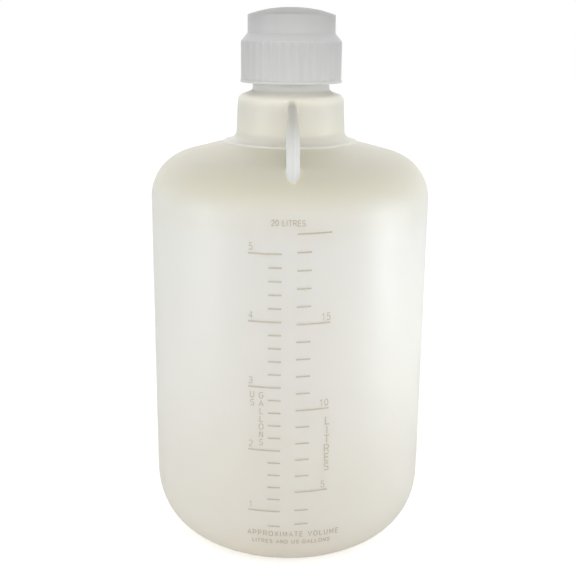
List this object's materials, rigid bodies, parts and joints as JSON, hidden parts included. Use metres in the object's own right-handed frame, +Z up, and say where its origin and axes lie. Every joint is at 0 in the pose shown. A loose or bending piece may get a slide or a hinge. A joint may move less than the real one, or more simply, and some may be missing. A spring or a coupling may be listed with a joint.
{
  "type": "reagent bottle",
  "caption": "Round moulded bottle with a threaded neck, strap handles between collar and shoulder, and a tall ribbed screw cap with a seal ring.",
  "frame": {"origin": "centre of the base, on the surface that the bottle stands on", "axes": "+Z up along the bottle's axis; -Y towards the front handle and the printed scales; +X to the right seen from the front"},
  "size_m": [0.284, 0.284, 0.546],
  "materials": {
    "natural_polyethylene": "translucent natural plastic, satin",
    "cap_polypropylene": "pale grey-white moulded plastic, satin",
    "seal_foam": "soft white foamed sealing ring"
  },
  "bodies": {
    "bottle": {"bottle": "natural_polyethylene"},
    "seal_ring": {"seal_ring": "seal_foam"},
    "screw_cap": {"screw_cap": "cap_polypropylene"}
  },
  "joints": [
    {"name": "cap_lift", "type": "slide", "parent": "bottle", "child": "seal_ring", "axis": [0, 0, 1], "range_m": [0, 0.056]},
    {"name": "cap_turn", "type": "hinge", "parent": "seal_ring", "child": "screw_cap", "pos_m": [0, 0, 0.5], "axis": [0, 0, 1], "range_deg": [0, 2520]}
  ],
  "couplings": [
    {"joint": "cap_lift", "follows": "cap_turn", "m_per_rad": 0.0012732}
  ]
}
